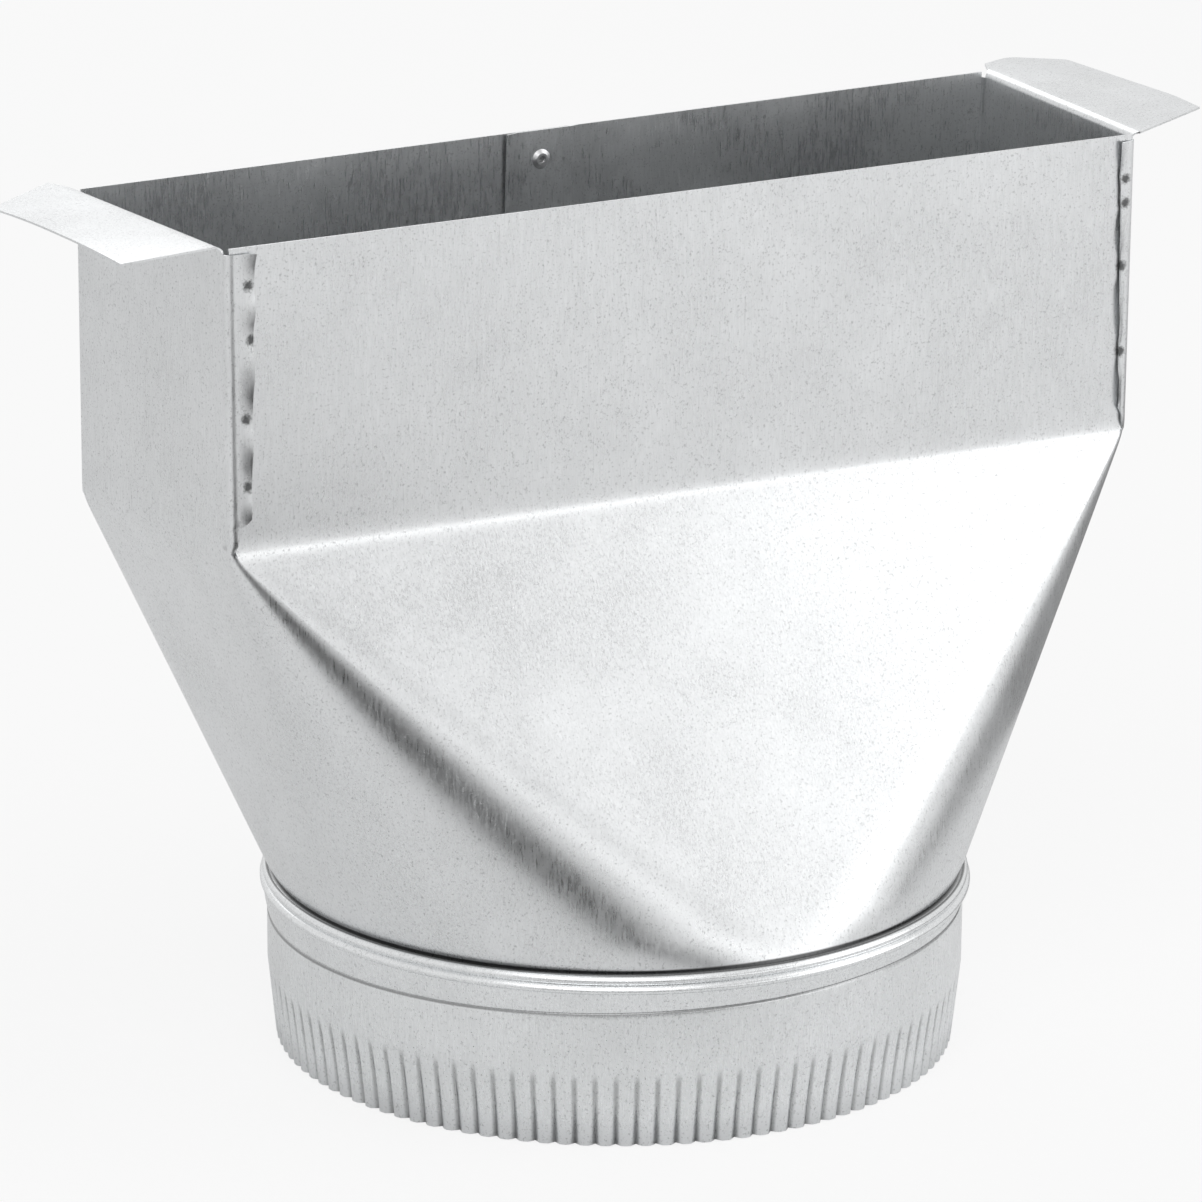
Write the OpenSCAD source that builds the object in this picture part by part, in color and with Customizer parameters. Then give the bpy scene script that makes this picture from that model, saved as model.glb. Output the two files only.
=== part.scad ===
// Straight register boot of galvanized sheet: a rectangular mouth over a round crimped collar.
// The origin is on the floor under the centre of the collar. +Z is up, +X runs along the
// long walls, and the lap seam with its rivet is in the long wall on the +Y side.

/* [Sheet] */
// Thickness of the galvanized sheet
sheet_t = 0.5; // [0.4:0.05:0.7]

/* [Mouth] */
// Length of the mouth over its end walls
mouth_l = 258; // [235:1:290]
// Width of the mouth over its long walls
mouth_w = 74; // [60:1:90]
// Height of the straight walls
wall_h = 77; // [65:1:95]

/* [Corner flanges] */
// Width of the strips that fold from the end walls onto the long walls
flange_w = 7.5; // [6:0.5:12]
// Height over which a strip tapers off above the knuckle
flange_taper_h = 8; // [4:1:14]
// Chamfer on the top corner of a strip
flange_chamfer = 1; // [0.5:0.25:2]
// Gap between a strip and the long wall
flange_gap = 0.2; // [0.1:0.05:0.4]
// Diameter of the relief hole at the foot of each corner slit
relief_d = 1.8; // [1:0.1:2.5]

/* [Spot welds] */
// Diameter of a weld nugget
weld_d = 3; // [2:0.5:4]
// Depth of the electrode mark in the strip
weld_mark = 0.1; // [0.05:0.05:0.2]
// Distance from the mouth to the first weld
weld_first = 9; // [6:1:12]
// Distance between welds
weld_pitch = 16; // [12:1:18]
// Welds in each corner
weld_count = 4; // [2:1:4]

/* [Tabs] */
// Reach of a tab beyond its end wall
tab_reach = 26.5; // [18:0.5:40]
// Inner radius of the fold at a tab's root
tab_bend_r = 1; // [0.5:0.25:2]
// Overhang of a tab's back corner beyond the long wall
tab_ear = 7; // [0:0.5:10]
// Slope of the left tab, negative when it droops, in degrees
left_tilt = -2; // [-6:1:6]
// Set-back of the left tab's front tip
left_front_trim = 2; // [0:1:15]
// Set-back of the left tab's back tip
left_back_trim = 8; // [0:1:15]
// Distance from the left end wall to that tab's overhanging corner
left_ear_x = 3.5; // [3:0.5:16]
// Slope of the right tab, in degrees
right_tilt = 3; // [-6:1:6]
// Set-back of the right tab's front tip
right_front_trim = 11; // [0:1:15]
// Set-back of the right tab's back tip
right_back_trim = 4; // [0:1:15]
// Distance from the right end wall to that tab's overhanging corner
right_ear_x = 13; // [3:0.5:16]

/* [Transition] */
// Height of the square-to-round transition
transition_h = 105; // [85:1:140]
// Flat facets that round each corner cone
cone_facets = 20; // [8:4:32]

/* [Lap seam] */
// Distance of the rivet line from the middle of the wall
seam_x = -2; // [-20:1:20]
// Width over which the two sheet edges lap
lap_w = 18; // [12:1:26]
// Radius of the inner sheet's top corner
lap_corner_r = 4; // [1:0.5:6]
// Length of the joggle beside the lap
joggle_l = 2; // [1:0.5:4]

/* [Blind rivet] */
// Diameter of the rivet's shank
rivet_d = 3.2; // [2.4:0.1:4.8]
// Diameter of the rivet's head
rivet_head_d = 6; // [5.5:0.25:9]
// Height of the rivet's head
rivet_head_h = 1.1; // [0.8:0.1:1.6]
// Diameter of the bulb upset on the blind side
rivet_bulb_d = 4.8; // [4.2:0.1:6]
// Length of the blind side beyond the outer sheet
rivet_bulb_l = 3; // [2:0.25:5]
// Distance from the mouth to the rivet's centre
rivet_drop = 8; // [6:0.5:14]
// Diameter of the broken mandrel
mandrel_d = 1.8; // [1.2:0.1:2]
// Diameter of the mandrel's head
mandrel_head_d = 2.8; // [2.4:0.1:3.2]
// Depth of the seat for the mandrel's head
mandrel_seat_h = 1; // [0.8:0.1:1.4]
// How far the mandrel's head stands out of its seat
mandrel_proud = 0.3; // [0.1:0.1:0.5]
// How far the mandrel broke off below the face of the rivet's head
mandrel_sunk = 0.4; // [0.2:0.1:0.6]
// Clearance round the shank and round the mandrel
rivet_fit = 0.05; // [0.03:0.01:0.1]

/* [Collar] */
// Outside diameter of the plain band, which slides into a 7 inch round duct
band_d = 176.7; // [165:0.1:190]
// Height of the collar
collar_h = 45; // [40:1:60]
// Height of the two beads together
beads_h = 4.6; // [3:0.2:7]
// How far the beads stand out from the wall between them
bead_out = 0.9; // [0.5:0.1:1.6]
// How far the shoulder under the beads stands out from the band
shoulder_out = 1.2; // [0.6:0.1:2]
// Radial gap between the transition's neck and the collar
neck_fit = 0.1; // [0.05:0.01:0.2]
// How far the neck reaches down past the foot of the shoulder
neck_l = 3; // [1:0.5:6]
// Distance from the top of the collar to the creased line at the foot of the shoulder
crease_drop = 10; // [8:0.5:14]
// Depth of the creased line
crease_deep = 0.2; // [0.1:0.05:0.3]

/* [Crimps] */
// Number of crimps round the end
crimp_count = 108; // [72:4:120]
// Height of the crimped end
crimp_h = 20; // [14:1:24]
// Depth of a crimp at the end
crimp_deep = 1.6; // [0.8:0.1:2.2]
// How far the crimped end draws in
crimp_draw = 2.1; // [0.5:0.1:3]

/* [Hidden] */
$fn = 96;

// Small overlap that keeps joined solids from meeting on one surface only
skin = 0.05;
// How far a cut reaches past the solid that it cuts
clear = 1;
knuckle_z = collar_h + transition_h;
mouth_z = knuckle_z + wall_h;
bend_z = mouth_z - tab_bend_r - sheet_t;
half_l = mouth_l / 2;
half_w = mouth_w / 2;
band_r = band_d / 2;
bore_r = band_r - sheet_t;
neck_r = bore_r - neck_fit;
loft_r = neck_r - skin;
flange_y = half_w + flange_gap;
flange_out = flange_y + sheet_t;
facets = 4 * cone_facets;
rivet_z = mouth_z - rivet_drop;
rivet_face = -sheet_t - rivet_head_h;
rivet_end = sheet_t + rivet_bulb_l;
lap_face = half_w - 2 * sheet_t;
lap_left = seam_x - lap_w / 2;
lap_right = seam_x + lap_w / 2;
slope_run = loft_r - half_w;
slope_angle = atan(slope_run / transition_h);
slope_l = norm([slope_run, transition_h]);
rivet_bevel = 0.3;
mark_share = 0.8;
bead_steps = 8;
bead_fullness = 0.8;
crimp_overlap = 0.2;
crease_overlap = 0.3;
crimp_dips = [1, 0.2, 0, 0.2];
crimp_places = [0, 0.2, 0.5, 0.8];
crease_z = collar_h - crease_drop;
shoulder_z = crease_z + 2 * crease_deep;

function corner(sx, sy, wall) = [sx * (half_l - wall), sy * (half_w - wall)];
function on_circle(r, a) = [r * cos(a), r * sin(a)];
function quad(a, b, c, d) = [[a, b, c], [a, c, d]];
function flat(lists) = [for (part = lists) each part];

// Outline of the neck and of the transition's round end
function round_end(r) = [for (i = [0 : facets - 1]) on_circle(r, 360 * i / facets)];

// The four corners of the straight walls, one for each quarter of the round end
function square_end(wall) = [
    corner(1, 1, wall), corner(-1, 1, wall), corner(-1, -1, wall), corner(1, -1, wall)
];

// Faces of one skin: a flat triangle on each side and a cone fan at each corner.
// The corners are points first to first + 3 and the round end follows them.
function loft_faces(first) = flat([
    for (q = [0 : 3])
        let (
            apex = first + 4 + ((q + 1) * cone_facets) % facets,
            next_corner = first + (q + 1) % 4
        )
        [
            [next_corner, apex, first + q],
            for (i = [0 : cone_facets - 1])
                let (
                    a = first + 4 + q * cone_facets + i,
                    b = first + 4 + (q * cone_facets + i + 1) % facets
                )
                [b, a, first + q]
        ]
]);

function reversed(faces) = [for (f = faces) [f[2], f[1], f[0]]];

module transition() {
    inner = 4 + facets;
    points = concat(
        [for (p = square_end(0)) [p[0], p[1], knuckle_z]],
        [for (p = round_end(loft_r)) [p[0], p[1], collar_h]],
        [for (p = square_end(sheet_t)) [p[0], p[1], knuckle_z]],
        [for (p = round_end(loft_r - sheet_t)) [p[0], p[1], collar_h]]
    );
    top_rim = flat([
        for (q = [0 : 3])
            let (n = (q + 1) % 4)
            quad(inner + q, inner + n, n, q)
    ]);
    round_rim = flat([
        for (i = [0 : facets - 1])
            let (n = (i + 1) % facets)
            quad(4 + n, inner + 4 + n, inner + 4 + i, 4 + i)
    ]);
    polyhedron(
        points,
        concat(loft_faces(0), reversed(loft_faces(inner)), top_rim, round_rim),
        convexity = 6
    );
}

// The long walls reach the mouth, and the end walls stop where their tabs bend
module straight_walls() {
    translate([0, 0, knuckle_z])
        linear_extrude(wall_h)
            difference() {
                square([mouth_l, mouth_w], center = true);
                square([mouth_l - 2 * sheet_t, mouth_w - 2 * sheet_t], center = true);
            }
}

// Cuts the end walls down to the height where their tabs start to bend
module tab_room() {
    for (side = [-1, 1])
        translate([side * half_l, 0, mouth_z])
            cube([2 * sheet_t, 2 * flange_out + clear, 2 * (mouth_z - bend_z)], center = true);
}

// One corner strip, drawn for the corner where X and Y are both positive
module corner_flange() {
    strip_h = bend_z - knuckle_z;
    translate([half_l, flange_out, knuckle_z])
        rotate([90, 0, 0])
            linear_extrude(sheet_t)
                polygon([
                    [0, 0],
                    [0, strip_h],
                    [-flange_w + flange_chamfer, strip_h],
                    [-flange_w, strip_h - flange_chamfer],
                    [-flange_w, flange_taper_h],
                    [-sheet_t, 0]
                ]);
    translate([half_l - sheet_t, half_w - sheet_t, knuckle_z])
        cube([sheet_t, flange_out - half_w + sheet_t, strip_h]);
}

module weld_nugget(z, d, from_y, to_y) {
    translate([half_l - flange_w / 2 - sheet_t / 2, from_y, z])
        rotate([-90, 0, 0])
            cylinder(d = d, h = to_y - from_y);
}

module each_corner() {
    for (sx = [0, 1], sy = [0, 1])
        mirror([sx, 0, 0])
            mirror([0, sy, 0])
                children();
}

function weld_z(i) = mouth_z - weld_first - i * weld_pitch;

// The section of a tab: the end wall's top edge, the fold and the flat, along X and Z
module tab_section(tilt) {
    bend = 90 - tilt;
    outer_r = tab_bend_r + sheet_t;
    steps = 6;
    arc_end = [outer_r * (1 - cos(bend)), outer_r * sin(bend)];
    top = [for (i = [0 : steps]) let (a = bend * i / steps)
        [outer_r * (1 - cos(a)) - sheet_t, outer_r * sin(a)]];
    under = [for (i = [steps : -1 : 0]) let (a = bend * i / steps)
        [tab_bend_r * (1 - cos(a)) , tab_bend_r * sin(a)]];
    run = tab_reach + outer_r;
    slope = [cos(tilt), sin(tilt)];
    polygon(concat(
        top,
        [top[steps] + run * slope, under[0] + run * slope],
        under
    ));
}

// One tab at the right end, with its plan trimmed to the corners that are named
module tab(tilt, front_trim, back_trim, ear_x) {
    intersection() {
        translate([half_l, half_w + tab_ear, bend_z])
            rotate([90, 0, 0])
                linear_extrude(mouth_w + 2 * tab_ear)
                    tab_section(tilt);
        translate([half_l, 0, mouth_z - tab_reach / 2])
            linear_extrude(tab_reach)
                polygon([
                    [-sheet_t, -half_w],
                    [0, -half_w],
                    [tab_bend_r, -flange_out],
                    [tab_reach, -flange_out + front_trim],
                    [tab_reach, flange_out - back_trim],
                    [ear_x, half_w + tab_ear],
                    [tab_bend_r, flange_out],
                    [0, half_w],
                    [-sheet_t, half_w]
                ]);
    }
}

// The inner sheet edge of the lap, with the joggle back into the wall, seen from above
module lap_plan() {
    polygon([
        [lap_left, lap_face],
        [lap_right, lap_face],
        [lap_right + joggle_l, half_w - sheet_t],
        [lap_right + joggle_l, half_w - sheet_t + skin],
        [lap_left, half_w - sheet_t + skin]
    ]);
}

// The recess that the joggle leaves beside the outer sheet's edge, seen from above
module joggle_plan() {
    polygon([
        [lap_right, half_w - sheet_t],
        [lap_right + 2 * joggle_l, half_w + sheet_t],
        [lap_right, half_w + sheet_t]
    ]);
}

// Carries a plan down the flat triangle of the transition's back, from a little past its top
module down_the_slope(past) {
    translate([0, half_w, knuckle_z])
        rotate([slope_angle, 0, 0])
            translate([0, -half_w, -slope_l])
                linear_extrude(slope_l + past)
                    children();
}

module lap_strip() {
    difference() {
        translate([0, 0, knuckle_z])
            linear_extrude(wall_h)
                lap_plan();
        translate([lap_left, half_w, mouth_z])
            rotate([90, 0, 0])
                difference() {
                    cube([2 * lap_corner_r, 2 * lap_corner_r, 4 * sheet_t], center = true);
                    translate([lap_corner_r, -lap_corner_r, -4 * sheet_t])
                        cylinder(r = lap_corner_r, h = 8 * sheet_t);
                }
    }
}

// The neck that the two beads lock into the collar
module neck() {
    rotate_extrude()
        polygon(concat(
            bead_line(neck_r),
            [
                [neck_r, shoulder_z],
                [neck_r, shoulder_z - neck_l],
                [neck_r - sheet_t, shoulder_z - neck_l],
                [neck_r - sheet_t, shoulder_z]
            ],
            back(bead_line(neck_r - sheet_t))
        ));
}

function back(list) = [for (i = [len(list) - 1 : -1 : 0]) list[i]];

// A line from the lip, where its radius is r, down over the two beads to the top of the shoulder
function bead_line(r) = [
    for (i = [0 : 2 * bead_steps])
        let (
            u = i / bead_steps,
            swell = bead_out * pow(abs(sin(180 * u)), bead_fullness)
        )
        [r + shoulder_out * u / 2 + swell, collar_h - beads_h * u / 2]
];

module collar_ring() {
    rotate_extrude()
        polygon(concat(
            bead_line(band_r),
            [
                [band_r, shoulder_z],
                [band_r - crease_deep, crease_z],
                [band_r, crease_z - 2 * crease_deep],
                [band_r, crimp_h],
                [bore_r, crimp_h],
                [bore_r, shoulder_z]
            ],
            back(bead_line(bore_r))
        ));
}

// One ring of points round the crimped end, drawn in by the depth of the crimps there
function crimp_ring(r, deep, z) = [
    for (k = [0 : crimp_count - 1], j = [0 : len(crimp_dips) - 1])
        let (
            a = 360 * (k + crimp_places[j]) / crimp_count,
            p = on_circle(r - deep * crimp_dips[j], a)
        )
        [p[0], p[1], z]
];

module crimped_end() {
    n = crimp_count * len(crimp_dips);
    top_r = band_r - skin;
    top_bore_r = bore_r + skin;
    end_r = band_r - crimp_draw;
    top_z = crimp_h + crimp_overlap;
    rings = [
        crimp_ring(end_r, crimp_deep, 0),
        crimp_ring(top_r, 0, crimp_h),
        crimp_ring(top_r, 0, top_z),
        crimp_ring(top_bore_r, 0, top_z),
        crimp_ring(top_bore_r, 0, crimp_h),
        crimp_ring(end_r - sheet_t, crimp_deep, 0)
    ];
    faces = flat([
        for (r = [0 : len(rings) - 1], i = [0 : n - 1])
            let (
                s = (r + 1) % len(rings),
                m = (i + 1) % n
            )
            quad(r * n + i, s * n + i, s * n + m, r * n + m)
    ]);
    polyhedron(flat(rings), faces, convexity = 10);
}

module boot_body() {
    color("gainsboro")
        difference() {
            union() {
                difference() {
                    straight_walls();
                    tab_room();
                }
                transition();
                neck();
                each_corner() {
                    corner_flange();
                    for (i = [0 : weld_count - 1])
                        weld_nugget(weld_z(i), weld_d, half_w - sheet_t / 2, flange_y + sheet_t / 2);
                }
                lap_strip();
                down_the_slope(0)
                    lap_plan();
                tab(right_tilt, right_front_trim, right_back_trim, right_ear_x);
                mirror([1, 0, 0])
                    tab(left_tilt, left_front_trim, left_back_trim, left_ear_x);
            }
            each_corner()
                for (i = [0 : weld_count - 1])
                    weld_nugget(weld_z(i), weld_d * mark_share, flange_out - weld_mark, flange_out + clear);
            translate([0, 0, knuckle_z - crease_overlap])
                linear_extrude(crease_overlap + wall_h + clear)
                    joggle_plan();
            down_the_slope(crease_overlap)
                joggle_plan();
            relief_holes();
            rivet_axis()
                cylinder(d = rivet_d + 2 * rivet_fit, h = 8 * sheet_t, center = true);
        }
}

// A relief hole through each knuckle, where the corner slit ends
module relief_holes() {
    for (a = [1, 3, 5, 7])
        translate([
            sign(cos(45 * a)) * half_l,
            sign(sin(45 * a)) * half_w,
            knuckle_z
        ])
            rotate([0, 90, 45 * a])
                cylinder(d = relief_d, h = 4 * relief_d, center = true, $fn = 24);
}

// Places its children on the rivet's axis, with +Z pointing out of the boot
module rivet_axis() {
    translate([seam_x, half_w - sheet_t, rivet_z])
        rotate([-90, 0, 0])
            children();
}

module collar() {
    color("silver")
        union() {
            collar_ring();
            crimped_end();
        }
}

// The rivet's head bears on the inner sheet and its bulb on the outer one
module seam_rivet() {
    head_r = rivet_head_d / 2;
    shank_bore_r = mandrel_d / 2 + rivet_fit;
    seat_r = mandrel_head_d / 2 + rivet_fit;
    bulb_r = rivet_bulb_d / 2;
    color("whitesmoke")
        rivet_axis()
            rotate_extrude()
                polygon([
                    [shank_bore_r, rivet_face],
                    [shank_bore_r + 2 * rivet_bevel, rivet_face],
                    [head_r - rivet_bevel, -sheet_t - rivet_head_h / 3],
                    [head_r, -sheet_t - rivet_head_h / 6],
                    [head_r, -sheet_t],
                    [rivet_d / 2, -sheet_t],
                    [rivet_d / 2, sheet_t],
                    [bulb_r - rivet_bevel, sheet_t],
                    [bulb_r, sheet_t + rivet_bevel],
                    [bulb_r, rivet_end - mandrel_seat_h - rivet_bevel],
                    [seat_r + rivet_bevel, rivet_end],
                    [seat_r, rivet_end],
                    [seat_r, rivet_end - mandrel_seat_h],
                    [shank_bore_r, rivet_end - mandrel_seat_h]
                ]);
}

// The stub that stays in the rivet: its head sits in the bulb and it broke off near the face
module rivet_mandrel() {
    r = mandrel_d / 2;
    head_r = mandrel_head_d / 2;
    broken_face = rivet_face + mandrel_sunk;
    color("dimgray")
        rivet_axis()
            rotate_extrude()
                polygon([
                    [0, broken_face],
                    [r - rivet_bevel, broken_face],
                    [r, broken_face + rivet_bevel],
                    [r, rivet_end - mandrel_seat_h],
                    [head_r, rivet_end - mandrel_seat_h],
                    [head_r, rivet_end],
                    [head_r - rivet_bevel, rivet_end + mandrel_proud],
                    [0, rivet_end + mandrel_proud]
                ]);
}

boot_body();
collar();
seam_rivet();
rivet_mandrel();
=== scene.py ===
"""Straight register boot of galvanized sheet over its crimped collar, dressed for a studio picture."""

import logging
import math
from dataclasses import dataclass
from enum import Enum
from typing import Callable, Sequence

import bpy
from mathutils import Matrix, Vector


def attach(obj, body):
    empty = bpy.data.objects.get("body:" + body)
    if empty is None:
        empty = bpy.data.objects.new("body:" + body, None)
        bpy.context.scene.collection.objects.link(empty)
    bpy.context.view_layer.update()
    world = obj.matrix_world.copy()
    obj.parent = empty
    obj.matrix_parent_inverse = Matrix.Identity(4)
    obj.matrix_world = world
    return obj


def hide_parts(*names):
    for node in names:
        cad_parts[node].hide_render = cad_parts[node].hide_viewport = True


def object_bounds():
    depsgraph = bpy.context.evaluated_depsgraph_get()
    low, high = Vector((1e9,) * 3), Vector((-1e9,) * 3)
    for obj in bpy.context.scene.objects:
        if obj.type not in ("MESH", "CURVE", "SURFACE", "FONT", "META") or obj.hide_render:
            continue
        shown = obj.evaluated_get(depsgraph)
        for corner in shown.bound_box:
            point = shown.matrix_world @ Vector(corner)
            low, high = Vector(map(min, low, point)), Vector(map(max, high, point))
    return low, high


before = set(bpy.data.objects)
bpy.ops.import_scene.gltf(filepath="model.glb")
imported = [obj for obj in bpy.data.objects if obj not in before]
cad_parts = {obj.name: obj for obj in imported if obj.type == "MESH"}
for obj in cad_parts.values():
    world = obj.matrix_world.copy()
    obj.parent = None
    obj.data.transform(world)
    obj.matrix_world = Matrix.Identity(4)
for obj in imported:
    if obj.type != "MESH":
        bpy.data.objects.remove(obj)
cad_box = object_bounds()

MM = 0.001
log = logging.getLogger("register_boot")


# Shop tools: number helpers, arithmetic on sockets, node building


def clamp(value: float, low: float = 0.0, high: float = 1.0) -> float:
    """Hold a value between two limits."""
    return max(low, min(high, value))


def mix(a: float, b: float, share: float) -> float:
    """Go from a to b by a share."""
    return a + (b - a) * share


def ease(low: float, high: float, value: float) -> float:
    """Rise smoothly from 0 at low to 1 at high."""
    t = clamp((value - low) / (high - low))
    return t * t * (3 - 2 * t)


class Wire:
    """One node socket that takes part in Python arithmetic."""

    def __init__(self, bench: "Bench", socket: bpy.types.NodeSocket) -> None:
        """Wrap a socket.

        Args:
            bench: The bench whose tree the socket belongs to.
            socket: The output socket.
        """
        self.bench = bench
        self.socket = socket

    def _maths(self, operation: str, first: "Wire | float", second: "Wire | float | None" = None) -> "Wire":
        """Add one Math node.

        Args:
            operation: The Math node's operation.
            first: The first value.
            second: The second value, if the operation takes one.

        Returns:
            The result's socket.
        """
        inputs = {0: first} if second is None else {0: first, 1: second}
        return self.bench.node("ShaderNodeMath", {"operation": operation}, inputs)

    def __add__(self, other: "Wire | float") -> "Wire":
        """Add."""
        return self._maths("ADD", self, other)

    __radd__ = __add__

    def __mul__(self, other: "Wire | float") -> "Wire":
        """Multiply."""
        return self._maths("MULTIPLY", self, other)

    __rmul__ = __mul__

    def __sub__(self, other: "Wire | float") -> "Wire":
        """Take the other value away."""
        return self._maths("SUBTRACT", self, other)

    def __rsub__(self, other: float) -> "Wire":
        """Take this value away from a number."""
        return self._maths("SUBTRACT", other, self)

    def size(self) -> "Wire":
        """Give the value without its sign."""
        return self._maths("ABSOLUTE", self)

    def fraction(self) -> "Wire":
        """Give what is left above the whole number."""
        return self._maths("FRACT", self)

    def angle(self, other: "Wire") -> "Wire":
        """Give the angle whose opposite side this is and whose adjacent side is the other value."""
        return self._maths("ARCTAN2", self, other)

    def most(self, other: "Wire | float") -> "Wire":
        """Give the larger of two values."""
        return self._maths("MAXIMUM", self, other)

    def step(self, low: float, high: float) -> "Wire":
        """Rise smoothly from 0 at low to 1 at high, or fall where low is the larger.

        Args:
            low: The value at which the step starts.
            high: The value at which it ends.

        Returns:
            A value from 0 to 1.
        """
        ends = (low, high, 0.0, 1.0) if low < high else (high, low, 1.0, 0.0)
        inputs = {"Value": self, "From Min": ends[0], "From Max": ends[1], "To Min": ends[2], "To Max": ends[3]}
        return self.bench.node("ShaderNodeMapRange", {"interpolation_type": "SMOOTHSTEP"}, inputs, "Result")


class Bench:
    """Builds the node tree of one material or world."""

    def __init__(self, tree: bpy.types.NodeTree) -> None:
        """Start from an empty tree.

        Args:
            tree: The tree to fill.
        """
        self.tree = tree
        tree.nodes.clear()

    def node(
        self,
        kind: str,
        settings: dict[str, object] | None = None,
        inputs: dict[str | int, object] | None = None,
        output: str | int = 0,
    ) -> Wire:
        """Add a node, with its settings first and then its sockets.

        Args:
            kind: The node's type.
            settings: The node's own settings.
            inputs: A value or a wire for each named or numbered socket.
            output: The output socket to return.

        Returns:
            The output socket, wrapped.
        """
        made = self.tree.nodes.new(kind)
        for name, value in (settings or {}).items():
            setattr(made, name, value)
        for name, value in (inputs or {}).items():
            if isinstance(value, Wire):
                self.tree.links.new(value.socket, made.inputs[name])
            else:
                made.inputs[name].default_value = value
        return Wire(self, made.outputs[output] if len(made.outputs) else None)

    def place(self) -> Wire:
        """Give the Object coordinates in millimetres."""
        raw = self.node("ShaderNodeTexCoord", output="Object")
        return self.node("ShaderNodeVectorMath", {"operation": "SCALE"}, {0: raw, "Scale": 1 / MM})

    def axes(self, place: Wire) -> tuple[Wire, Wire, Wire]:
        """Split a place into its three numbers.

        Args:
            place: The place's vector.

        Returns:
            X, Y and Z.
        """
        split = self.node("ShaderNodeSeparateXYZ", {}, {0: place})
        outputs = split.socket.node.outputs
        return Wire(self, outputs[0]), Wire(self, outputs[1]), Wire(self, outputs[2])

    def noise(self, place: Wire, scale: float, detail: float = 2.0, rough: float = 0.5, warp: float = 0.0) -> Wire:
        """Add a noise pattern.

        Args:
            place: The place that it reads.
            scale: Waves in a millimetre.
            detail: Number of finer layers.
            rough: Strength of the finer layers.
            warp: Distortion.

        Returns:
            The pattern, about 0.5 on average.
        """
        inputs = {"Vector": place, "Scale": scale, "Detail": detail, "Roughness": rough, "Distortion": warp}
        return self.node("ShaderNodeTexNoise", {}, inputs, "Fac")

    def stretched(self, place: Wire, along: tuple[float, float, float]) -> Wire:
        """Scale a place by a number on each axis."""
        return self.node("ShaderNodeVectorMath", {"operation": "MULTIPLY"}, {0: place, 1: along})


# Finishes


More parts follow.
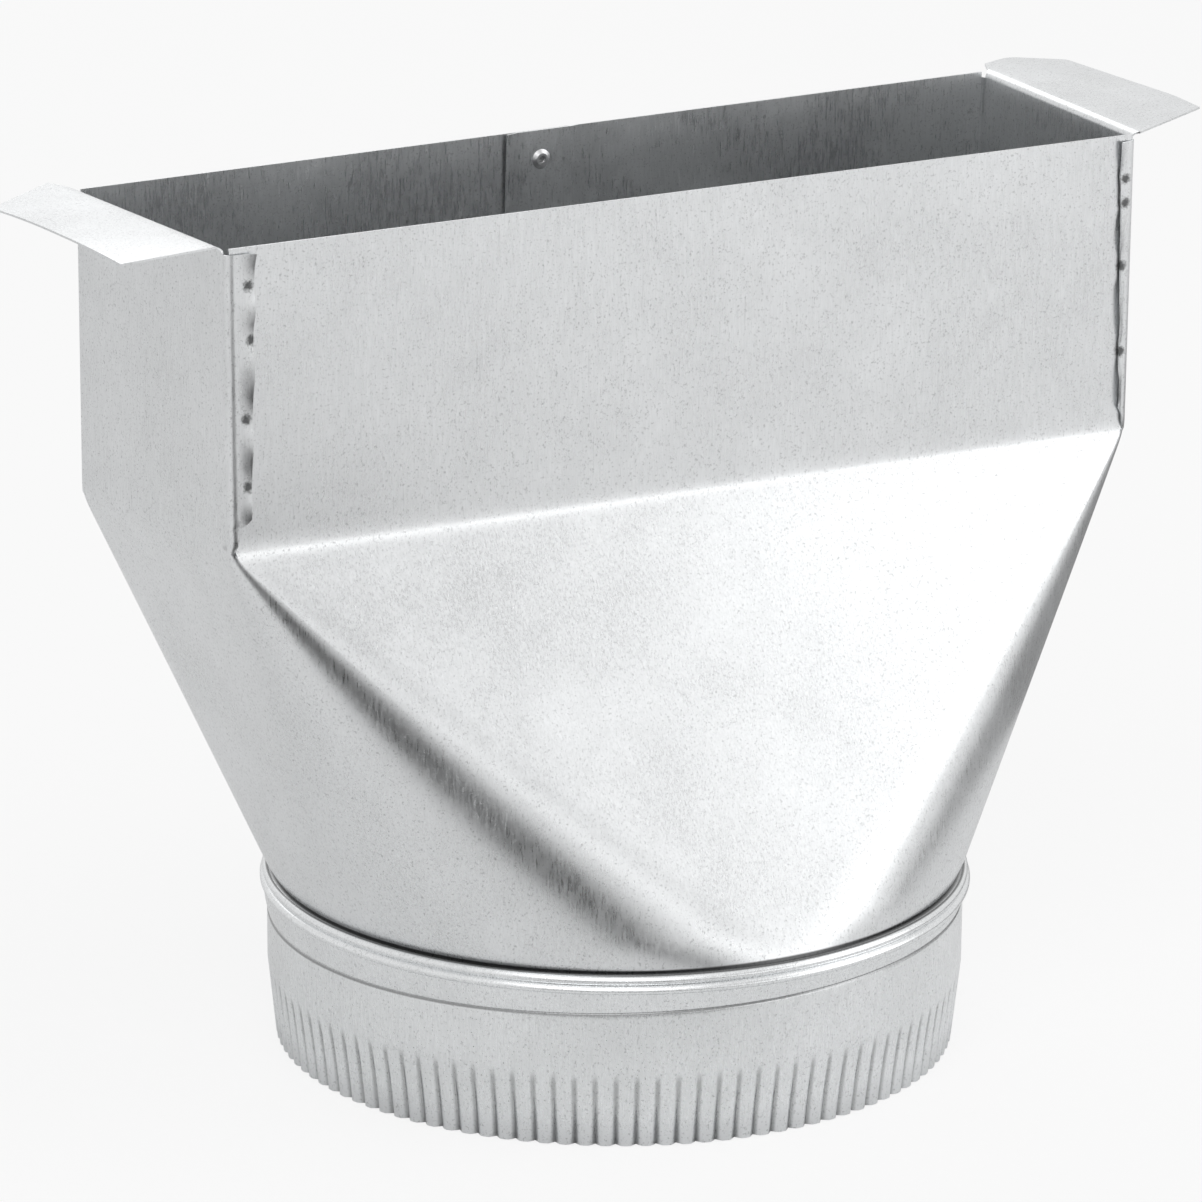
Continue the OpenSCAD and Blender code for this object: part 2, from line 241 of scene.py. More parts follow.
@dataclass(frozen=True)
class Galvanized:
    """Bright galvanized sheet with rolling grain, speckle, mottling and a few scratches."""

    name: str
    level: float = 0.80
    shine: float = 0.30
    grain: float = 1.0
    weld_spots: tuple[tuple[float, float, float], ...] = ()
    joint_z: float = 45.0
    crimp_top: float = 0.0
    crimps: int = 108
    crease_plane: tuple[float, float, float] = (0.0199, -0.0132, 34.8)

    def make(self) -> bpy.types.Material:
        """Build the material.

        Returns:
            The finished material.
        """
        material = bpy.data.materials.new(self.name)
        material.use_nodes = True
        bench = Bench(material.node_tree)
        place = bench.place()
        x, y, z = bench.axes(place)
        streaks = bench.noise(bench.stretched(place, (1.0, 1.0, 0.12)), 2.0, 3.0, 0.6)
        speckle = bench.noise(place, 1.5, 2.0, 0.7)
        mottle = bench.noise(place, 0.035, 3.0, 0.55)
        patches = bench.noise(place, 0.11, 2.0, 0.5, 0.6)
        pits = speckle.step(0.56, 0.70)
        scratch = bench.noise(bench.stretched(place, (0.5, 0.5, 0.03)), 3.1, 1.0, 0.5, 0.4).step(0.70, 0.78)
        level = self.level + (streaks - 0.5) * (0.22 * self.grain) + (mottle - 0.5) * 0.14
        level = level + (patches - 0.5) * 0.06 - pits * 0.22 - scratch * 0.06
        rough = self.shine + (streaks - 0.5) * (0.22 * self.grain) + (mottle - 0.5) * 0.12 + pits * 0.12
        rough = rough + scratch * 0.1
        if self.weld_spots:
            burn = self._burn(bench, place)
            level = level * (1 - burn * 0.8)
            rough = rough + burn * 0.25
            # Painted shadow: a dark band round the body at the joint with the collar's lip
            level = level * (1 - (z - self.joint_z - 0.2).size().step(0.8, 0.3) * 0.85)
        if self.crimp_top:
            low = z.step(self.crimp_top * 0.45, 0.0)
            level = level - low * (0.10 + (streaks - 0.5) * 0.3)
            rough = rough + low * 0.08
            # The grooves between the crimps are darkened, and a line of painted shade runs along the crease
            level = level * (1 - self._grooves(x, y, z) * 0.4) * (1 - self._crease_shade_line(x, y, z) * 0.6)
            # Painted shadow: the top third of a millimetre of the collar's lip is darkened at the joint
            level = level * (1 - z.step(self.joint_z - 0.35, self.joint_z - 0.1) * 0.8)
        colour = bench.node("ShaderNodeCombineColor", {}, {0: level * 0.985, 1: level, 2: level * 1.01})
        height = (streaks - 0.5) * (0.5 * self.grain) + (speckle - 0.5) * 0.5 - scratch * 0.5
        bump = bench.node("ShaderNodeBump", {}, {"Strength": 0.18, "Distance": 0.00012, "Height": height})
        shader = bench.node(
            "ShaderNodeBsdfPrincipled",
            {},
            {"Base Color": colour, "Roughness": rough, "Metallic": 1.0, "Normal": bump},
        )
        bench.node("ShaderNodeOutputMaterial", {}, {0: shader})
        return material

    def _grooves(self, x: Wire, y: Wire, z: Wire) -> Wire:
        """Mark the dark grooves between the crimps.

        Args:
            x: The place along X in millimetres.
            y: The place along Y.
            z: The height.

        Returns:
            A mask from 0 to 1.
        """
        turns = y.angle(x) * (self.crimps / (2 * math.pi)) + self.crimps
        away = ((turns + 0.5).fraction() - 0.5).size()
        return away.step(0.2, 0.04) * z.step(self.crimp_top, self.crimp_top * 0.8)

    def _crease_shade_line(self, x: Wire, y: Wire, z: Wire) -> Wire:
        """Mark the thin line of painted shade along the collar's crease, which tilts a little.

        Args:
            x: The place along X in millimetres.
            y: The place along Y.
            z: The height.

        Returns:
            A mask from 0 to 1.
        """
        along_x, along_y, height = self.crease_plane
        return (z - x * along_x - y * along_y - height).size().step(0.55, 0.15)

    def _burn(self, bench: Bench, place: Wire) -> Wire:
        """Mark the burnt rings of the spot welds.

        Args:
            bench: The tree's bench.
            place: The Object coordinates in millimetres.

        Returns:
            A mask from 0 to 1.
        """
        wobble = (bench.noise(place, 1.3, 3.0, 0.7) - 0.5) * 2.4
        total = bench.node("ShaderNodeValue", {})
        total.socket.default_value = 0.0
        for spot in self.weld_spots:
            away = bench.node("ShaderNodeVectorMath", {"operation": "DISTANCE"}, {0: place, 1: spot}, 1)
            total = total.most((away + wobble).step(1.9, 0.6))
        return total


@dataclass(frozen=True)
class CutEdgePaintedShade:
    """The sheared edge of the sheet: darker steel, and painted near-black as well for the shade in the gaps at its
    free edges, with a thin bright burr.
    """

    name: str = "cut_edge_painted_shade"

    def make(self) -> bpy.types.Material:
        """Build the material.

        Returns:
            The finished material.
        """
        material = bpy.data.materials.new(self.name)
        material.use_nodes = True
        bench = Bench(material.node_tree)
        place = bench.place()
        wear = bench.noise(place, 0.9, 3.0, 0.7)
        # Near-black level: painted shade for the dark gaps along the free edges, with lighter specks from the
        # noise
        level = 0.05 + wear.step(0.54, 0.74) * 0.4
        rough = 0.5 - wear * 0.15
        colour = bench.node("ShaderNodeCombineColor", {}, {0: level, 1: level, 2: level * 1.02})
        bump = bench.node("ShaderNodeBump", {}, {"Strength": 0.3, "Distance": 0.0001, "Height": wear})
        shader = bench.node(
            "ShaderNodeBsdfPrincipled",
            {},
            {"Base Color": colour, "Roughness": rough, "Metallic": 1.0, "Normal": bump},
        )
        bench.node("ShaderNodeOutputMaterial", {}, {0: shader})
        return material


@dataclass(frozen=True)
class RivetMetal:
    """Aluminium of the blind rivet, or the darker steel of its broken mandrel."""

    name: str
    level: float
    shine: float

    def make(self) -> bpy.types.Material:
        """Build the material.

        Returns:
            The finished material.
        """
        material = bpy.data.materials.new(self.name)
        material.use_nodes = True
        bench = Bench(material.node_tree)
        place = bench.place()
        turned = bench.noise(place, 2.2, 3.0, 0.65)
        level = self.level + (turned - 0.5) * 0.3
        rough = self.shine + (turned - 0.5) * 0.2
        colour = bench.node("ShaderNodeCombineColor", {}, {0: level, 1: level, 2: level * 1.01})
        bump = bench.node("ShaderNodeBump", {}, {"Strength": 0.25, "Distance": 0.0001, "Height": turned})
        shader = bench.node(
            "ShaderNodeBsdfPrincipled",
            {},
            {"Base Color": colour, "Roughness": rough, "Metallic": 1.0, "Normal": bump},
        )
        bench.node("ShaderNodeOutputMaterial", {}, {0: shader})
        return material


# Sheet work


class Sheet:
    """A flat blank of columns and rows that is cut, folded and given its thickness."""

    def __init__(self, name: str, columns: int, rows: int) -> None:
        """Lay out the blank.

        Args:
            name: The finished piece's name.
            columns: Lines of points along the sheet.
            rows: Lines of points up the sheet.
        """
        bpy.ops.object.select_all(action="DESELECT")
        bpy.ops.mesh.primitive_grid_add(x_subdivisions=columns - 1, y_subdivisions=rows - 1, size=2)
        self.piece = bpy.context.object
        self.piece.name = name
        self.piece.data.name = name
        self.columns = columns
        self.rows = rows

    def cell(self, place: Vector) -> tuple[float, float]:
        """Give the column and row of a place on the flat blank."""
        return (place.x + 1) / 2 * (self.columns - 1), (place.y + 1) / 2 * (self.rows - 1)

    def cut(self, unwanted: Callable[[float, float], bool]) -> None:
        """Snip out the faces whose middle is unwanted.

        Args:
            unwanted: Says for a column and a row whether the face there goes.
        """
        bpy.ops.object.mode_set(mode="EDIT")
        bpy.ops.mesh.select_mode(type="FACE")
        bpy.ops.object.mode_set(mode="OBJECT")
        for face in self.piece.data.polygons:
            face.select = unwanted(*self.cell(face.center))
        bpy.ops.object.mode_set(mode="EDIT")
        bpy.ops.mesh.delete(type="FACE")
        bpy.ops.object.mode_set(mode="OBJECT")

    def fold(self, shape: Callable[[int, int], Vector]) -> None:
        """Carry each point of the blank to its place on the finished sheet.

        Args:
            shape: Gives the place in millimetres of a column and a row.
        """
        for point in self.piece.data.vertices:
            column, row = self.cell(point.co)
            point.co = shape(round(column), round(row)) * MM
        self.piece.data.update()

    def weld_ends(self, distance: float) -> None:
        """Close the sheet's two ends where they meet.

        Args:
            distance: Points closer than this become one, in metres.
        """
        bpy.ops.object.mode_set(mode="EDIT")
        bpy.ops.mesh.select_all(action="SELECT")
        bpy.ops.mesh.remove_doubles(threshold=distance)
        bpy.ops.object.mode_set(mode="OBJECT")

    def flip(self) -> None:
        """Turn every face over."""
        bpy.ops.object.mode_set(mode="EDIT")
        bpy.ops.mesh.select_all(action="SELECT")
        bpy.ops.mesh.flip_normals()
        bpy.ops.object.mode_set(mode="OBJECT")

    def thicken(self, thickness: float, smooth_angle: float = 35.0) -> None:
        """Give the sheet its thickness inwards, with the second material, the cut edge's painted shade, on the cut
        edges.

        Args:
            thickness: The sheet's thickness in millimetres.
            smooth_angle: Angle below which an edge is shaded smooth, in degrees.
        """
        solid = self.piece.modifiers.new("thickness", "SOLIDIFY")
        solid.thickness = thickness * MM
        solid.offset = -1.0
        solid.use_rim = True
        solid.material_offset_rim = 1
        bpy.ops.object.modifier_apply(modifier=solid.name)
        bpy.ops.object.shade_smooth_by_angle(angle=math.radians(smooth_angle))


class Side(Enum):
    """The kind of strip of the blank that a column belongs to."""

    LAP = "inner edge of the lap"
    LONG = "long wall"
    CORNER = "corner strip and fold"
    END = "end wall with its tab"


@dataclass(frozen=True)
class Column:
    """One column of the boot's blank.

    The two lengths run clockwise seen from above, from the middle of the back wall.
    """

    side: Side
    at_mouth: float
    at_round: float
    inset: float = 0.0
    corner: int = 0
    share: float = 0.0


@dataclass(frozen=True)
class CornerStrip:
    """As-built corner: its lean and the strip that folds round it."""

    sx: int
    sy: int
    top_lean: tuple[float, float, float]
    knuckle_lean: tuple[float, float, float]
    top_w: float
    foot_w: float
    foot_h: float
    welds: tuple[tuple[float, float], ...]


@dataclass(frozen=True)
class Tab:
    """One end tab: its slope, its trimmed corners and its bow."""

    tilt: float
    ear_x: float
    ear_y: float
    back_tip: float
    front_tip: float
    front_root: float
    bow: float


@dataclass
class BootBody:
    """The folded sheet: walls, corner strips, tabs, transition, lap seam and neck."""

    half_l: float = 129.0
    half_w: float = 37.0
    mouth_z: float = 227.0
    knuckle_z: float = 150.0
    joint_z: float = 45.0
    neck_r: float = 87.75
    neck_foot_z: float = 32.4
    bend_z: float = 225.5
    shoulder_z: float = 35.4
    beads_h: float = 4.6
    bead_out: float = 0.9
    shoulder_out: float = 1.2
    strip_rise: float = 3.0
    sheet_t: float = 0.5
    fold_r: float = 1.2
    crease_soft: float = 1.3
    strip_gap: float = 0.9
    strip_spring: float = 0.9
    joint_pinch: float = 0.55
    tab_reach: float = 26.5
    tab_bend_r: float = 1.5
    lap_left: float = -12.4
    lap_right: float = 6.0
    joggle_l: float = 2.5
    lap_spring: float = 0.8
    edge_room: float = 0.12
    fan: int = 40

    def __post_init__(self) -> None:
        """Settle the corners, the tabs, the columns and the rows."""
        self.corners = (
            CornerStrip(1, 1, (1.86, -1.12, 0.48), (-0.92, 0.22, -0.95), 6.4, 4.2, 6.0,
                        ((4.0, 217.0), (3.6, 203.0), (3.6, 188.0), (3.2, 171.0))),
            CornerStrip(1, -1, (-0.84, 0.22, -1.32), (-1.03, 0.28, -1.47), 5.0, 2.9, 5.0,
                        ((3.2, 216.0), (3.1, 209.8), (3.6, 193.6), (3.2, 171.3))),
            CornerStrip(-1, -1, (0.83, -0.57, -0.53), (1.43, -0.15, 1.72), 7.75, 5.4, 7.0,
                        ((5.6, 217.7), (6.2, 204.2), (4.6, 184.6), (4.9, 167.6))),
            CornerStrip(-1, 1, (-1.26, 0.20, -1.52), (-1.21, 0.27, -0.84), 6.8, 4.6, 6.0,
                        ((4.0, 218.0), (4.3, 202.0), (3.7, 186.0), (3.9, 170.0))),
        )
        self.tabs = {
            1: Tab(3.0, 13.0, 8.0, 4.0, 11.0, 0.2, 0.5),
            -1: Tab(-2.0, 3.5, 8.2, 8.0, 1.5, -2.0, 1.1),
        }
        self.columns = self._columns()
        self.heights = self._heights()

    def _columns(self) -> list[Column]:
        """Lay the columns out round the blank.

        Returns:
            The columns, clockwise from the inner edge of the lap.
        """
        mouth_flat = self.half_l - self.fold_r
        mouth_arc = math.pi / 2 * self.fold_r
        mouth_quarter = mouth_flat + mouth_arc + self.half_w - self.fold_r
        round_quarter = math.pi / 2 * self.neck_r
        long_foot, end_foot, seam_half = 24.0, 8.0, 15.0
        made = []
        inner = self.sheet_t * 1.15
        sprung = inner + self.lap_spring
        for x, inset in ((self.lap_left, sprung), (self.lap_left + 0.6, sprung), (-9.0, inner), (-6.0, inner),
                         (-3.0, inner), (0.0, inner), (3.0, inner), (self.lap_right, inner),
                         (self.lap_right + 0.5, inner * 0.9), (self.lap_right + self.joggle_l, 0.0)):
            made.append(Column(Side.LAP, x, x, inset))
        for turn in range(4):
            clockwise = turn % 2 == 0
            start, start_round = turn * mouth_quarter, turn * round_quarter
            quarter = []
            flat_steps, end_steps = (20 if turn in (1, 2) else 17), 8
            first = seam_half if turn in (0, 3) else 0.0
            for i in range(flat_steps + 1):
                t = i / flat_steps
                quarter.append((Side.LONG, mix(first, mouth_flat, t), mix(first, long_foot, t), 0.0))
            for i in range(1, self.fan):
                t = i / self.fan
                quarter.append((Side.CORNER, mouth_flat + mouth_arc * t,
                                mix(long_foot, round_quarter - end_foot, t), t))
            for i in range(end_steps + 1):
                t = i / end_steps
                quarter.append((Side.END, mix(mouth_flat + mouth_arc, mouth_quarter, t),
                                mix(round_quarter - end_foot, round_quarter, t), 0.0))
            if not clockwise:
                quarter = [(s, mouth_quarter - m, round_quarter - r, t) for s, m, r, t in reversed(quarter)]
            if turn in (1, 2, 3):
                quarter = quarter[1:]
            for side, m, r, t in quarter:
                made.append(Column(side, start + m, start_round + r, 0.0, turn, t))
        total, total_round = 4 * mouth_quarter, 4 * round_quarter
        for x in (-12.0, -9.0, -6.0, -3.0, 0.0, 3.0, self.lap_right):
            made.append(Column(Side.LAP, total + x, total_round + x, 0.0))
        return made

    def _heights(self) -> list[tuple[str, float]]:
        """Lay the rows out up the blank.

        Returns:
            For each row its zone and its height, or its share of the tab.
        """
        rows = [("neck", self.neck_foot_z), ("neck", self.shoulder_z)]
        rows += [("neck", self.joint_z - self.beads_h + self.beads_h * i / 12) for i in range(12)]
        rows += [("skirt", mix(self.joint_z, 140.0, i / 24)) for i in range(25)]
        rows += [("skirt", z) for z in (143.0, 145.5, 147.0, 148.2, 149.1)]
        rows += [("wall", z) for z in (150.0, 150.8, 151.8, 153.0, 154.4, 155.6, 156.6, 157.4, 158.2, 159.4)]
        rows += [("wall", mix(161.0, self.bend_z, i / 22)) for i in range(23)]
        rows += [("lip", i / 5) for i in range(1, 6)]
        rows += [("tab", i / 12) for i in range(1, 13)]
        return rows

    def section(self, share: float, length: float) -> tuple[float, float, float, float]:
        """Walk clockwise round the rounded rectangle of one height.

        Args:
            share: 1 at the mouth and 0 at the round end.
            length: How far to walk from the middle of the back wall.

        Returns:
            The place and the outward direction in plan.
        """
        radius = mix(self.neck_r, self.fold_r, share)
        flat_l = (self.half_l - self.fold_r) * share
        flat_w = (self.half_w - self.fold_r) * share
        quarter = flat_l + flat_w + math.pi / 2 * radius
        turn = math.floor(length / quarter + 1e-9)
        rest = length - turn * quarter
        turn %= 4
        if turn % 2:
            rest = quarter - rest
        if rest <= flat_l:
            x, y, nx, ny = rest, flat_w + radius, 0.0, 1.0
        elif rest <= flat_l + math.pi / 2 * radius:
            angle = math.pi / 2 - (rest - flat_l) / radius
            nx, ny = math.cos(angle), math.sin(angle)
            x, y = flat_l + radius * nx, flat_w + radius * ny
        else:
            x, y, nx, ny = flat_l + radius, quarter - rest, 1.0, 0.0
        sx = 1 if turn in (0, 1) else -1
        sy = 1 if turn in (0, 3) else -1
        return x * sx, y * sy, nx * sx, ny * sy

    def lean(self, place: Vector) -> Vector:
        """Move a place as the real boot's corners lean.

        Args:
            place: The place on a true boot, in millimetres.

        Returns:
            The place on the boot as built.
        """
        u = clamp((place.x / self.half_l + 1) / 2)
        v = clamp((place.y / self.half_w + 1) / 2)
        up = clamp((place.z - self.knuckle_z) / (self.mouth_z - self.knuckle_z))
        low = clamp((place.z - self.joint_z) / (self.knuckle_z - self.joint_z))
        shift = Vector((0.0, 0.0, 0.0))
        for corner in self.corners:
            weight = (u if corner.sx > 0 else 1 - u) * (v if corner.sy > 0 else 1 - v)
            here = Vector(corner.knuckle_lean).lerp(Vector(corner.top_lean), up)
            shift += here * weight * low
        return place + shift

    def neck_radius(self, z: float) -> float:
        """Give the neck's outer radius under the joint, inside the collar's beads."""
        beads_foot = self.joint_z - self.beads_h
        if z < beads_foot:
            return self.neck_r + self.shoulder_out * clamp((z - self.shoulder_z) / (beads_foot - self.shoulder_z))
        u = clamp((self.joint_z - z) / self.beads_h) * 2
        swell = self.bead_out * abs(math.sin(math.pi * u)) ** 0.8
        return self.neck_r + self.shoulder_out * u / 2 + swell

    def shape(self, column_at: int, row_at: int) -> Vector:
        """Give the place of one point of the folded sheet.

        Args:
            column_at: The column's number.
            row_at: The row's number.

        Returns:
            Its place in millimetres.
        """
        column = self.columns[column_at]
        zone, height = self.heights[row_at]
        if zone == "neck":
            x, y, nx, ny = self.section(0.0, column.at_round)
            grown = self.neck_radius(height) / self.neck_r
            inset = column.inset + self.joint_pinch * ease(self.joint_z - 1.2, self.joint_z, height)
            return Vector((x * grown - nx * inset, y * grown - ny * inset, height))
        if zone in ("lip", "tab"):
            if column.side is Side.END:
                return self._tab_place(column, zone, height)
            if column.side is Side.CORNER:
                return self._wall_place(column, self.bend_z)
            return self._wall_place(column, mix(self.bend_z, self.mouth_z, height if zone == "lip" else 1.0))
        return self._wall_place(column, height)

    def _wall_place(self, column: Column, z: float) -> Vector:
        """Give a point of the walls or the transition.

        Args:
            column: The point's column.
            z: The point's height on a true boot.

        Returns:
            Its place in millimetres.
        """
        soft = self.crease_soft
        depth = self.knuckle_z - z
        sunk = soft * math.log1p(math.exp(depth / soft)) if depth < 30 * soft else depth
        share = clamp(1 - sunk / (self.knuckle_z - self.joint_z))
        if column.side is Side.CORNER and z > self.knuckle_z:
            x, y = self._strip_place(column, z)
            return self.lean(Vector((x, y, z)))
        length = mix(column.at_round, column.at_mouth, share)
        x, y, nx, ny = self.section(share, length)
        pinch = self.joint_pinch * ease(self.joint_z + 2.5, self.joint_z + 0.6, z)
        inset = column.inset + pinch
        return self.lean(Vector((x - nx * inset, y - ny * inset, z)))

    def _strip_place(self, column: Column, z: float) -> tuple[float, float]:
        """Give a point of the strip that folds from the end wall onto the long wall.

        Args:
            column: The point's column.
            z: The point's height.

        Returns:
            Its place in plan.
        """
        corner = self.corners[column.corner]
        share = column.share
        lift = self.strip_gap * ease(self.knuckle_z, self.knuckle_z + self.strip_rise, z)
        radius = self.fold_r + lift
        wide = mix(corner.foot_w, corner.top_w, (z - self.knuckle_z) / (self.mouth_z - self.knuckle_z))
        wave = 0.12 * math.sin(z * 0.41 + column.corner) + 0.08 * math.sin(z * 1.13 + 2 * column.corner)
        foot = self.knuckle_z + corner.foot_h
        wide = mix(radius, wide + wave, ease(foot - 0.2, foot + 2.0, z))
        flat = max(wide - radius, 0.0)
        walk = share * (flat + math.pi / 2 * radius)
        if walk < flat:
            free = min(abs(z - weld_z) for _, weld_z in corner.welds)
            spring = self.strip_spring * ease(1.5, 7.0, free) * (1 - walk / flat) ** 2 * ease(foot, foot + 4, z)
            x, y = self.half_l - wide + walk, self.half_w + lift + spring
        else:
            angle = math.pi / 2 - (walk - flat) / radius
            x = self.half_l - radius + radius * math.cos(angle)
            y = self.half_w + lift - radius + radius * math.sin(angle)
        return x * corner.sx, y * corner.sy

    def _tab_place(self, column: Column, zone: str, share: float) -> Vector:
        """Give a point of a tab.

        Args:
            column: The point's column, on an end wall.
            zone: "lip" for the fold and "tab" for the flat.
            share: How far the point is through its zone.

        Returns:
            Its place in millimetres.
        """
        x, y, nx, _ = self.section(1.0, column.at_mouth)
        side = 1 if x > 0 else -1
        tab = self.tabs[side]
        tilt = math.radians(tab.tilt)
        radius = self.tab_bend_r
        turned = (math.pi / 2 - tilt) * (share if zone == "lip" else 1.0)
        out = radius * (1 - math.cos(turned))
        z = self.bend_z + radius * math.sin(turned)
        if zone == "tab":
            run = (self.tab_reach - out - 0.15) * share
            out += run * math.cos(tilt)
            z += run * math.sin(tilt)
        wide = self.half_w - self.fold_r
        across = clamp((y / wide + 1) / 2)
        along = clamp((out - radius) / (self.tab_reach - radius))
        root = ease(0.0, radius, out)
        back_far = self.half_w + 0.7 - tab.back_tip
        front_far = -(self.half_w + 0.7 - tab.front_tip)
        if out < tab.ear_x:
            back = mix(wide, self.half_w + tab.ear_y, ease(0.2, 3.0, out) * mix(0.6, 1.0, out / tab.ear_x))
        else:
            back = mix(self.half_w + tab.ear_y, back_far, (out - tab.ear_x) / (self.tab_reach - tab.ear_x))
        front = mix(-wide, mix(-(self.half_w + tab.front_root), front_far, along), root)
        y = mix(front, back, across)
        z += tab.bow * along * (1 - (2 * across - 1) ** 2)
        place = self.lean(Vector((side * (self.half_l + out), y, z)))
        reach = cad_box[1][0] / MM - self.edge_room
        top = cad_box[1][2] / MM - self.sheet_t
        return Vector((clamp(place.x, -reach, reach), place.y, min(place.z, top)))

    def is_cut(self, column: float, row: float) -> bool:
        """Say whether a face of the blank is snipped out.

        Args:
            column: The face's middle, in columns.
            row: The face's middle, in rows.

        Returns:
            True where there is no sheet.
        """
        left, right = self.columns[math.floor(column)], self.columns[math.ceil(column)]
        low_zone, low = self.heights[math.floor(row)]
        zone, _ = self.heights[math.ceil(row)]
        sides = {left.side, right.side}
        slit = sides == {Side.LONG, Side.CORNER}
        if slit and zone in ("wall", "lip", "tab") and low_zone == "wall":
            return True
        if zone == "lip" or low_zone == "lip":
            if zone == "tab":
                return sides != {Side.END}
            return not (sides == {Side.END} or sides <= {Side.LONG, Side.LAP})
        if zone == "tab":
            return sides != {Side.END}
        return False

    def build(self, materials: Sequence[bpy.types.Material]) -> bpy.types.Object:
        """Cut, fold and thicken the sheet.

        Args:
            materials: The sheet's finish and the cut edge's painted shade.

        Returns:
            The finished piece.
        """
        sheet = Sheet("boot_body_sheet", len(self.columns), len(self.heights))
        sheet.cut(self.is_cut)
        sheet.fold(self.shape)
        sheet.flip()
        sheet.thicken(self.sheet_t)
        for material in materials:
            sheet.piece.data.materials.append(material)
        return sheet.piece

    def weld_spots(self) -> tuple[tuple[float, float, float], ...]:
        """Give the places of the spot welds in millimetres."""
        spots = []
        for corner in self.corners:
            for across, z in corner.welds:
                place = Vector((corner.sx * (self.half_l - across), corner.sy * (self.half_w + self.strip_gap), z))
                spots.append(tuple(self.lean(place)))
        return tuple(spots)


@dataclass
class Collar:
    """The round collar: two beads, a shoulder, a creased line and a crimped end."""

    band_r: float = 88.35
    height: float = 45.0
    beads_h: float = 4.6
    bead_out: float = 0.88
    shoulder_out: float = 1.2
    crease_z: float = 35.0
    crease_deep: float = 0.25
    crimp_h: float = 20.0
    crimps: int = 108
    crimp_deep: float = 1.55
    crimp_draw: float = 2.1
    sheet_t: float = 0.5
    per_crimp: int = 7

    def __post_init__(self) -> None:
        """Lay the rows out from the end to the lip."""
        steps = 13
        rows = [self.crimp_h * (i / steps) for i in range(steps + 1)]
        rows += [23.0, 26.0, 29.0, 32.0, 33.5, 34.2, 34.6, 34.8, 35.0, 35.2, 35.4, 35.8, 36.5, 38.0, 39.4, 40.2]
        low = self.height - self.beads_h
        rows += [mix(low, self.height, i / 18) for i in range(19)]
        self.rows = rows

    def radius(self, z: float) -> float:
        """Give the outer radius at a height, without the crimps."""
        low = self.height - self.beads_h
        if z >= low:
            u = 2 * (self.height - z) / self.beads_h
            return self.band_r + self.shoulder_out * u / 2 + self.bead_out * abs(math.sin(math.pi * u)) ** 0.8
        foot = self.crease_z + 2 * self.crease_deep
        if z >= foot:
            return self.band_r + self.shoulder_out * (z - foot) / (low - foot)
        dent = max(0.0, 1 - abs(z - self.crease_z) / (2 * self.crease_deep)) * self.crease_deep
        return self.band_r - dent

    def shape(self, column: int, row: int) -> Vector:
        """Give the place of one point of the rolled ring.

        Args:
            column: The column's number.
            row: The row's number.

        Returns:
            Its place in millimetres.
        """
        turns = self.crimps * self.per_crimp
        angle = 2 * math.pi * (column % turns) / turns
        z = self.rows[row]
        radius = self.radius(z)
        if z < self.crimp_h:
            down = 1 - z / self.crimp_h
            number = round(column / self.per_crimp - 0.001)
            phase = abs((column / self.per_crimp + 0.5) % 1.0 - 0.5)
            groove = math.exp(-((phase / 0.17) ** 2))
            radius -= self.crimp_draw * down + self.crimp_deep * groove * down ** 0.8
            radius += 0.05 * math.sin(number * 12.9898) * down
        if 24 < z < self.height - self.beads_h:
            tilt = ease(20.0, 33.0, z) * ease(self.height - self.beads_h, 37.0, z)
            z += tilt * (1.75 * math.cos(angle) - 1.16 * math.sin(angle)) * 0.9
        return Vector((radius * math.cos(angle), radius * math.sin(angle), z))

    def build(self, materials: Sequence[bpy.types.Material]) -> bpy.types.Object:
        """Roll the ring and give it its thickness.

        Args:
            materials: The sheet's finish and the cut edge's painted shade.

        Returns:
            The finished piece.
        """
        sheet = Sheet("collar_ring", self.crimps * self.per_crimp + 1, len(self.rows))
        sheet.fold(self.shape)
        sheet.weld_ends(0.00001)
        sheet.thicken(self.sheet_t)
        for material in materials:
            sheet.piece.data.materials.append(material)
        return sheet.piece


# Studio


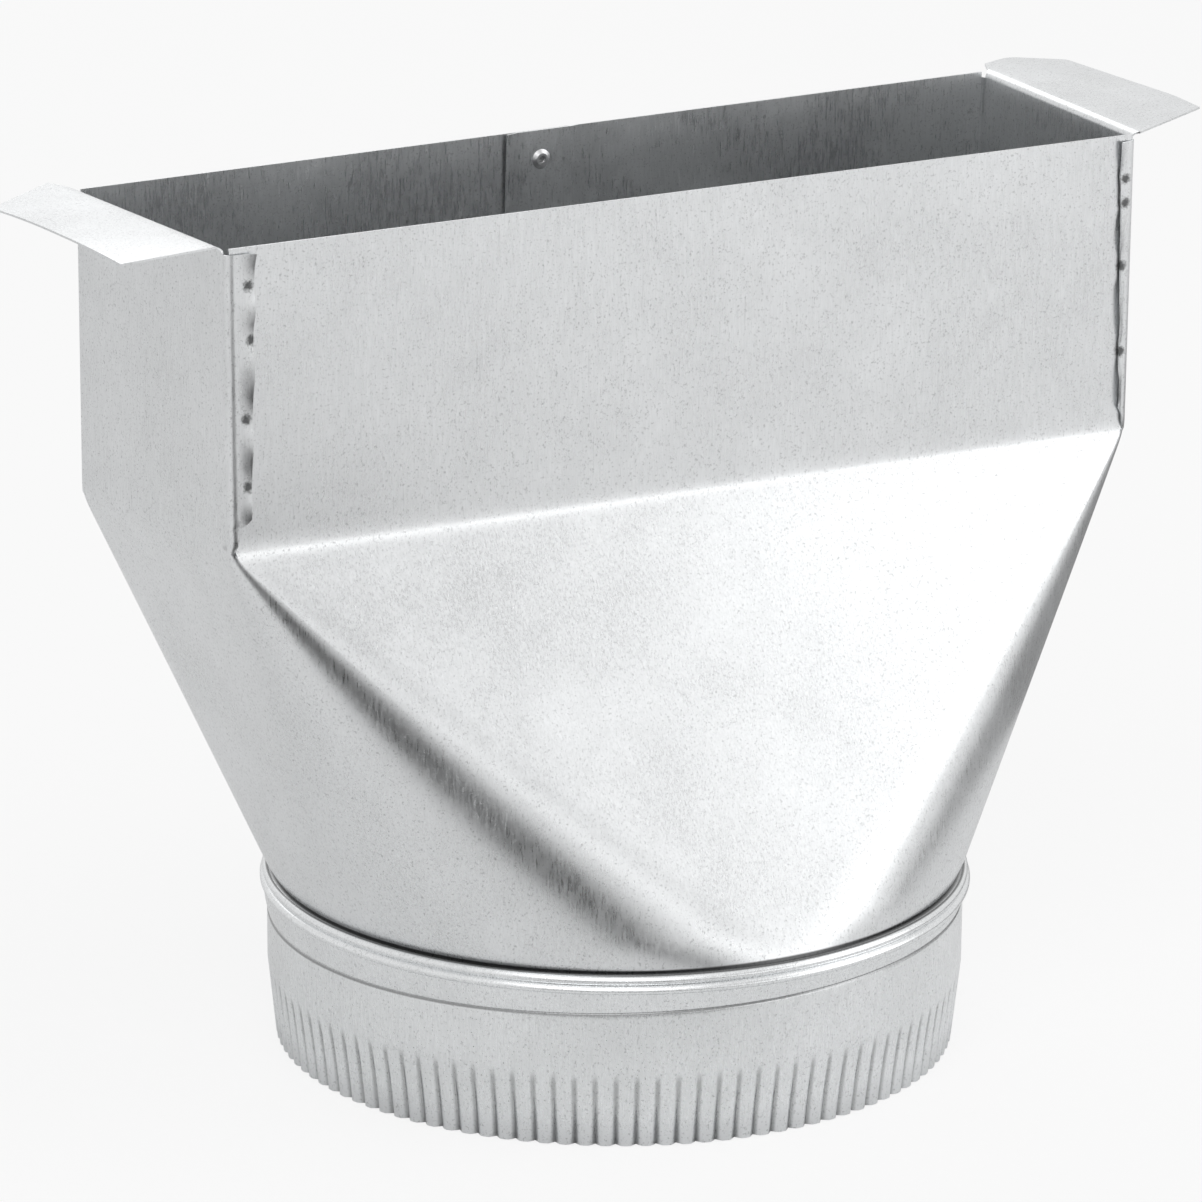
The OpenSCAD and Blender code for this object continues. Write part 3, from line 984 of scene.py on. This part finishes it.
@dataclass
class Studio:
    """White background, pale floor, soft lights and the dark cards that metal needs."""

    azimuth: float = -30.295
    elevation: float = 17.008
    roll: float = -0.378
    distance: float = 1636.51
    lens: float = 6518.64 / 1202 * 36
    shift_x: float = -3.973
    shift_y: float = 2.262
    aim_z: float = 110.0

    def build(self) -> None:
        """Set up the camera, the world, the floor, the cards and the lights."""
        bpy.context.scene.view_settings.view_transform = "Standard"
        self._camera()
        self._world()
        self._floor()
        self._card("dark_floor_card", (-206, -510, 3), (430, 640), (0, 0, -22), 0.01)
        self._card("grey_floor_card", (500, 40, 3), (520, 560), (0, 0, 0), 0.28)
        self._card("grey_sky_card", (420, -1150, 960), (800, 700), (52, 0, 22), 0.62)
        self._card("bright_low_card", (760, -1300, 290), (1300, 200), (90, 0, 30), 2.0)
        self._lights()

    def _camera(self) -> None:
        """Place the camera at the photograph's angle."""
        a, e, r = (math.radians(v) for v in (self.azimuth, self.elevation, self.roll))
        back = Vector((math.sin(a) * math.cos(e), -math.cos(a) * math.cos(e), math.sin(e)))
        right = Vector((math.cos(a), math.sin(a), 0.0))
        up = back.cross(right)
        place = Vector((0, 0, self.aim_z)) + back * self.distance + right * self.shift_x + up * self.shift_y
        turned_right = right * math.cos(r) - up * math.sin(r)
        turned_up = right * math.sin(r) + up * math.cos(r)
        data = bpy.data.cameras.new("camera")
        data.lens = self.lens
        data.sensor_width = 36.0
        data.clip_start = 0.05
        camera = bpy.data.objects.new("camera", data)
        bpy.context.collection.objects.link(camera)
        matrix = camera.matrix_world.copy()
        for column, axis in enumerate((turned_right, turned_up, back)):
            for line in range(3):
                matrix[line][column] = axis[line]
        for line in range(3):
            matrix[line][3] = place[line] * MM
        camera.matrix_world = matrix
        bpy.context.scene.camera = camera

    def _world(self) -> None:
        """Light the scene from all round, with a white background."""
        world = bpy.data.worlds.new("studio")
        bpy.context.scene.world = world
        world.use_nodes = True
        bench = Bench(world.node_tree)
        rays = bench.node("ShaderNodeLightPath", {}, output="Is Camera Ray")
        glossy = Wire(bench, rays.socket.node.outputs["Is Glossy Ray"])
        seen = rays.most(glossy)
        strength = rays + glossy * 0.84 + (1 - seen) * 0.55
        shader = bench.node("ShaderNodeBackground", {}, {0: (1.0, 1.0, 1.0, 1.0), 1: strength})
        bench.node("ShaderNodeOutputWorld", {}, {0: shader})

    def _floor(self) -> None:
        """Lay the pale floor, which keeps a soft shadow."""
        bpy.ops.object.select_all(action="DESELECT")
        bpy.ops.mesh.primitive_plane_add(size=12.0, location=(0, 0, -0.0002))
        floor = bpy.context.object
        floor.name = "floor"
        material = bpy.data.materials.new("floor_pale")
        material.use_nodes = True
        bench = Bench(material.node_tree)
        seen = bench.node("ShaderNodeLightPath", {}, output="Is Camera Ray")
        paper = bench.node("ShaderNodeBsdfDiffuse", {}, {0: (0.9, 0.9, 0.9, 1.0)})
        glow = bench.node("ShaderNodeEmission", {}, {0: (1.0, 1.0, 1.0, 1.0), 1: 1.0})
        both = bench.node("ShaderNodeMixShader", {}, {0: seen * 0.8, 1: paper, 2: glow})
        bench.node("ShaderNodeOutputMaterial", {}, {0: both})
        floor.data.materials.append(material)

    def _card(
        self,
        name: str,
        place: tuple[float, float, float],
        size: tuple[float, float],
        turn: tuple[float, float, float],
        level: float,
    ) -> None:
        """Stand or lay a card that only the metal's reflections see.

        Args:
            name: The card's name.
            place: Its middle, in millimetres.
            size: Its length and width, in millimetres.
            turn: Its rotation, in degrees.
            level: How light the card is.
        """
        bpy.ops.object.select_all(action="DESELECT")
        bpy.ops.mesh.primitive_plane_add(size=1.0)
        card = bpy.context.object
        card.name = name
        card.scale = (size[0] * MM, size[1] * MM, 1.0)
        card.location = tuple(v * MM for v in place)
        card.rotation_euler = tuple(math.radians(v) for v in turn)
        card.visible_camera = False
        card.visible_diffuse = False
        card.visible_shadow = False
        material = bpy.data.materials.new(name)
        material.use_nodes = True
        bench = Bench(material.node_tree)
        shader = bench.node("ShaderNodeEmission", {}, {0: (level, level, level, 1.0), 1: 1.0})
        bench.node("ShaderNodeOutputMaterial", {}, {0: shader})
        card.data.materials.append(material)

    def _lights(self) -> None:
        """Hang the soft boxes."""
        for name, place, size, power in (
            ("key_box", (-0.9, -1.3, 1.9), 1.6, 13.0),
            ("fill_box", (1.8, -1.2, 1.4), 1.8, 13.0),
            ("back_box", (0.3, 1.9, 1.7), 1.6, 7.0),
        ):
            data = bpy.data.lights.new(name, "AREA")
            data.shape = "SQUARE"
            data.size = size
            data.energy = power
            light = bpy.data.objects.new(name, data)
            light.location = place
            aim = Vector((0, 0, 0.1)) - Vector(place)
            light.rotation_euler = aim.to_track_quat("-Z", "Y").to_euler()
            bpy.context.collection.objects.link(light)


def dress_rivet() -> None:
    """Give the CAD rivet and its mandrel their metals."""
    for node, finish in (
        ("seam_rivet", RivetMetal("rivet_aluminium", 0.62, 0.34)),
        ("rivet_mandrel", RivetMetal("mandrel_steel", 0.45, 0.3)),
    ):
        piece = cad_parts[node]
        piece.data.materials.clear()
        piece.data.materials.append(finish.make())
        log.info("%s keeps its CAD shape with a %s finish", node, finish.name)


def main() -> None:
    """Build the boot, its collar, the rivet's finish and the studio, in that order."""
    logging.basicConfig(level=logging.INFO, format="%(message)s")
    edge = CutEdgePaintedShade().make()
    body = BootBody()
    sheet = Galvanized("galvanized_body", weld_spots=body.weld_spots())
    piece = body.build((sheet.make(), edge))
    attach(piece, "root")
    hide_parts("boot_body")
    log.info("%s: %d faces", piece.name, len(piece.data.polygons))
    collar = Collar()
    ring = collar.build((Galvanized("galvanized_collar", 0.84, 0.26, crimp_top=collar.crimp_h).make(), edge))
    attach(ring, "root")
    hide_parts("collar")
    log.info("%s: %d faces", ring.name, len(ring.data.polygons))
    dress_rivet()
    Studio().build()


if __name__ == "__main__":
    main()
